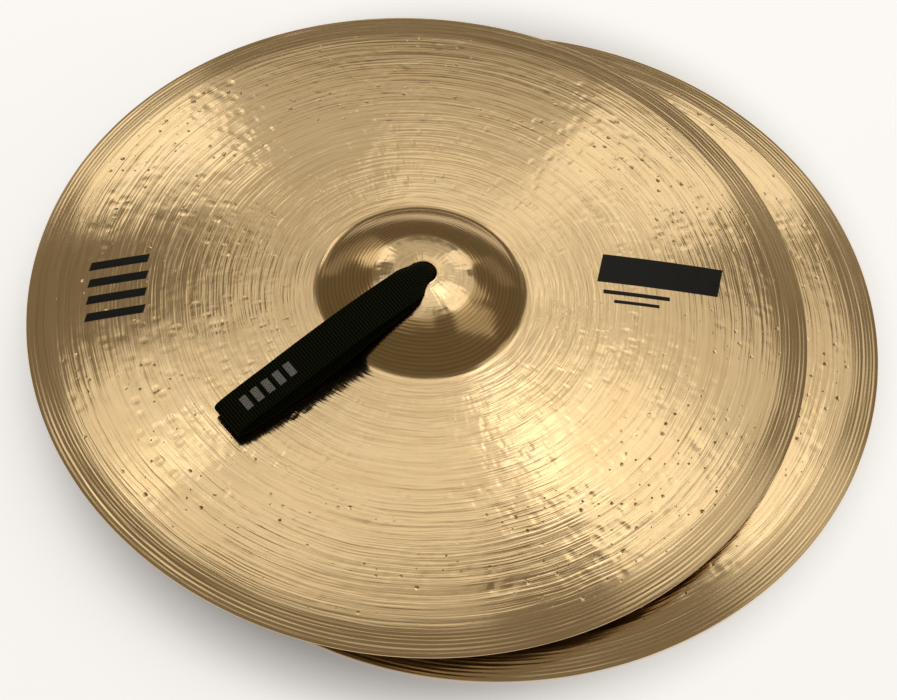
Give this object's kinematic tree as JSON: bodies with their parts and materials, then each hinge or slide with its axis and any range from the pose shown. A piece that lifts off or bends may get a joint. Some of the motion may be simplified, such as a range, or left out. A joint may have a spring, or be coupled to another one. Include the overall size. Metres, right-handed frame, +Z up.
{
  "type": "pair of hand cymbals",
  "caption": "Pair of bell-up bronze hand cymbals lying one on the other, each with a black web grip strap through its bell and an anchor inside.",
  "frame": {"origin": "middle of the pair's outline seen from above, on the surface that the lower plate's rim rests on", "axes": "+Z up, through the lower plate's rest face; +X to the viewer's right, along the line in which the two plates are offset; -Y towards the viewer"},
  "size_m": [0.5552, 0.5102, 0.0868],
  "materials": {
    "bronze": "lathed and hammered, brilliant",
    "webbing": "plain-woven nylon",
    "washer_leather": "vegetable tanned",
    "toggle_wood": "oiled hardwood",
    "thread": "bonded nylon thread"
  },
  "bodies": {
    "lower_cymbal": {"lower_plate": "bronze"},
    "upper_cymbal": {"upper_plate": "bronze"},
    "lower_anchor": {"lower_strap_neck": "webbing", "lower_washer": "washer_leather", "lower_toggle": "toggle_wood", "lower_bar_tack": "thread"},
    "upper_anchor": {"upper_strap_neck": "webbing", "upper_washer": "washer_leather", "upper_toggle": "toggle_wood", "upper_bar_tack": "thread"},
    "lower_grip": {"lower_grip_loop": "webbing"},
    "upper_grip": {"upper_grip_loop": "webbing"}
  },
  "joints": [
    {"name": "lift", "type": "slide", "parent": "lower_cymbal", "child": "upper_cymbal", "axis": [0, 0, 1], "range_m": [0, 0.3]},
    {"name": "upper_strap_swivel", "type": "hinge", "parent": "upper_cymbal", "child": "upper_anchor", "pos_m": [-0.02143, 0.00017, 0.07752], "axis": [0.0496, 0.0257, 0.9984], "continuous": true},
    {"name": "upper_strap_fold", "type": "hinge", "parent": "upper_anchor", "child": "upper_grip", "pos_m": [-0.02123, 0.00027, 0.08151], "axis": [-0.6154, 0.7881, 0.0103], "range_deg": [0, 150]},
    {"name": "lower_strap_swivel", "type": "hinge", "parent": "lower_cymbal", "child": "lower_anchor", "pos_m": [0.02364, 0.00106, 0.051], "axis": [0, 0, 1], "range_deg": [-10, 8]},
    {"name": "lower_strap_fold", "type": "hinge", "parent": "lower_anchor", "child": "lower_grip", "pos_m": [0.02364, 0.00106, 0.055], "axis": [-0.788, 0.6157, 0], "range_deg": [0, 4]}
  ]
}
